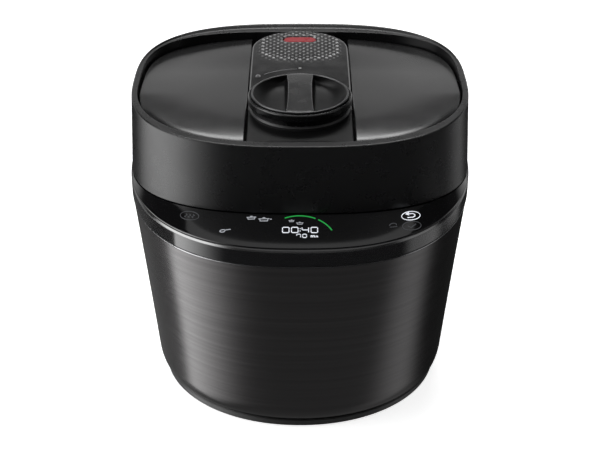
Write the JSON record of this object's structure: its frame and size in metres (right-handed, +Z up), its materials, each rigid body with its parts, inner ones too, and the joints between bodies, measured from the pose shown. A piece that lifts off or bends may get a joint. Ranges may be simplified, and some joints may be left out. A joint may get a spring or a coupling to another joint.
{
  "type": "electric pressure cooker",
  "caption": "Countertop electric pressure cooker: tapered dark steel body, sloping touch panel and hinged lid with a turning lock knob and steam vents.",
  "frame": {"origin": "on the table, at the centre of the cooker's bounding box", "axes": "+X to the cooker's left as it faces the user, so to the right of a user in front; -Y towards the front, where the control panel is; +Z up"},
  "size_m": [0.3218, 0.3652, 0.3266],
  "materials": {
    "foot_rubber": "matt",
    "base_plastic": "matt",
    "dark_steel_wrap": "brushed round the body, tinted dark",
    "bright_trim": "polished",
    "collar_gloss": "gloss",
    "panel_gloss": "high gloss",
    "circuit_board": "satin",
    "board_parts": "matt",
    "black_plastic": "matt",
    "contact_metal": "plain",
    "steel": "plain",
    "spring_steel": "plain",
    "aluminium": "as turned",
    "pot_inside": "dark non-stick coat",
    "pot_outer": "satin",
    "lid_band": "satin",
    "top_panel": "gloss",
    "bridge_plastic": "satin",
    "knob_plastic": "satin",
    "knob_trim": "satin",
    "gear_plastic": "satin",
    "silicone": "satin",
    "cup_plastic": "clear smoke",
    "red_plastic": "gloss",
    "lock_metal": "cast"
  },
  "bodies": {
    "cooker": {"feet": "foot_rubber", "base_tray": "base_plastic", "base_screws": "steel", "body_wrap": "dark_steel_wrap", "trim_ring": "bright_trim", "upper_collar": "collar_gloss", "control_panel": "panel_gloss", "display_module": "circuit_board", "power_inlet": "black_plastic", "inlet_pins": "contact_metal", "power_board": "circuit_board", "board_parts": "board_parts", "support_posts": "aluminium", "heat_shield": "aluminium", "basin_ring": "base_plastic", "outer_pot": "pot_outer", "inner_pot": "pot_inside", "heating_plate": "aluminium", "leaf_plate": "spring_steel", "sensor_bracket": "steel", "sensor_spring": "spring_steel", "hinge_bracket": "steel", "hinge_pin": "steel", "hinge_springs": "spring_steel", "hinge_cover": "black_plastic", "cup_bracket": "black_plastic"},
    "lid": {"lid_shell": "lid_band", "lid_deck": "base_plastic", "top_panel_left": "top_panel", "top_panel_right": "top_panel", "vent_bridge": "bridge_plastic", "steam_duct": "black_plastic", "knob_collar": "black_plastic", "shaft_bush": "gear_plastic", "lid_hub": "aluminium", "hub_clip": "spring_steel", "lid_liner": "base_plastic", "liner_screws": "steel", "pressure_lid": "steel", "hub_screws": "steel", "sealing_ring": "silicone", "inner_lid": "steel", "inner_lid_grommet": "silicone", "vent_pipe": "steel", "filter_cap": "steel", "hinge_arms": "black_plastic"},
    "knob": {"knob": "knob_plastic", "knob_ring": "knob_trim", "knob_shaft": "gear_plastic", "valve_spring": "spring_steel"},
    "lock": {"lock_ring": "lock_metal", "lock_gear": "gear_plastic"},
    "valve": {"release_valve": "steel"},
    "float": {"float_indicator": "red_plastic", "float_seal": "silicone"},
    "sensor": {"sensor_cap": "aluminium"},
    "cup": {"drip_cup": "cup_plastic"}
  },
  "joints": [
    {"name": "lid_hinge", "type": "hinge", "parent": "cooker", "child": "lid", "pos_m": [0, 0.1706, 0.228], "axis": [-1, 0, 0], "range_deg": [0, 85], "stiffness_Nm_per_rad": 1.4, "springref_deg": 91.67},
    {"name": "lock_turn", "type": "hinge", "parent": "lid", "child": "lock", "pos_m": [0, 0.0146, 0.2475], "axis": [0, 0, 1], "range_deg": [-18, 0]},
    {"name": "knob_turn", "type": "hinge", "parent": "lid", "child": "knob", "pos_m": [0, -0.0469, 0.3205], "axis": [0, 0, 1], "range_deg": [0, 30]},
    {"name": "valve_lift", "type": "slide", "parent": "lid", "child": "valve", "axis": [0, 0, 1], "range_m": [-0.003, 0], "deforming": ["valve_spring"]},
    {"name": "float_rise", "type": "slide", "parent": "lid", "child": "float", "axis": [0, 0, 1], "range_m": [0, 0.0035]},
    {"name": "sensor_press", "type": "slide", "parent": "cooker", "child": "sensor", "axis": [0, 0, 1], "range_m": [-0.0025, 0], "stiffness_N_per_m": 300, "springref_m": 0.004, "deforming": ["sensor_spring"]},
    {"name": "cup_pull", "type": "slide", "parent": "cooker", "child": "cup", "axis": [0, 1, 0], "range_m": [0, 0.04]}
  ],
  "couplings": [
    {"joint": "knob_turn", "follows": "lock_turn", "ratio": -1.6667},
    {"joint": "valve_lift", "follows": "lock_turn", "m_per_rad": 0.009549}
  ]
}
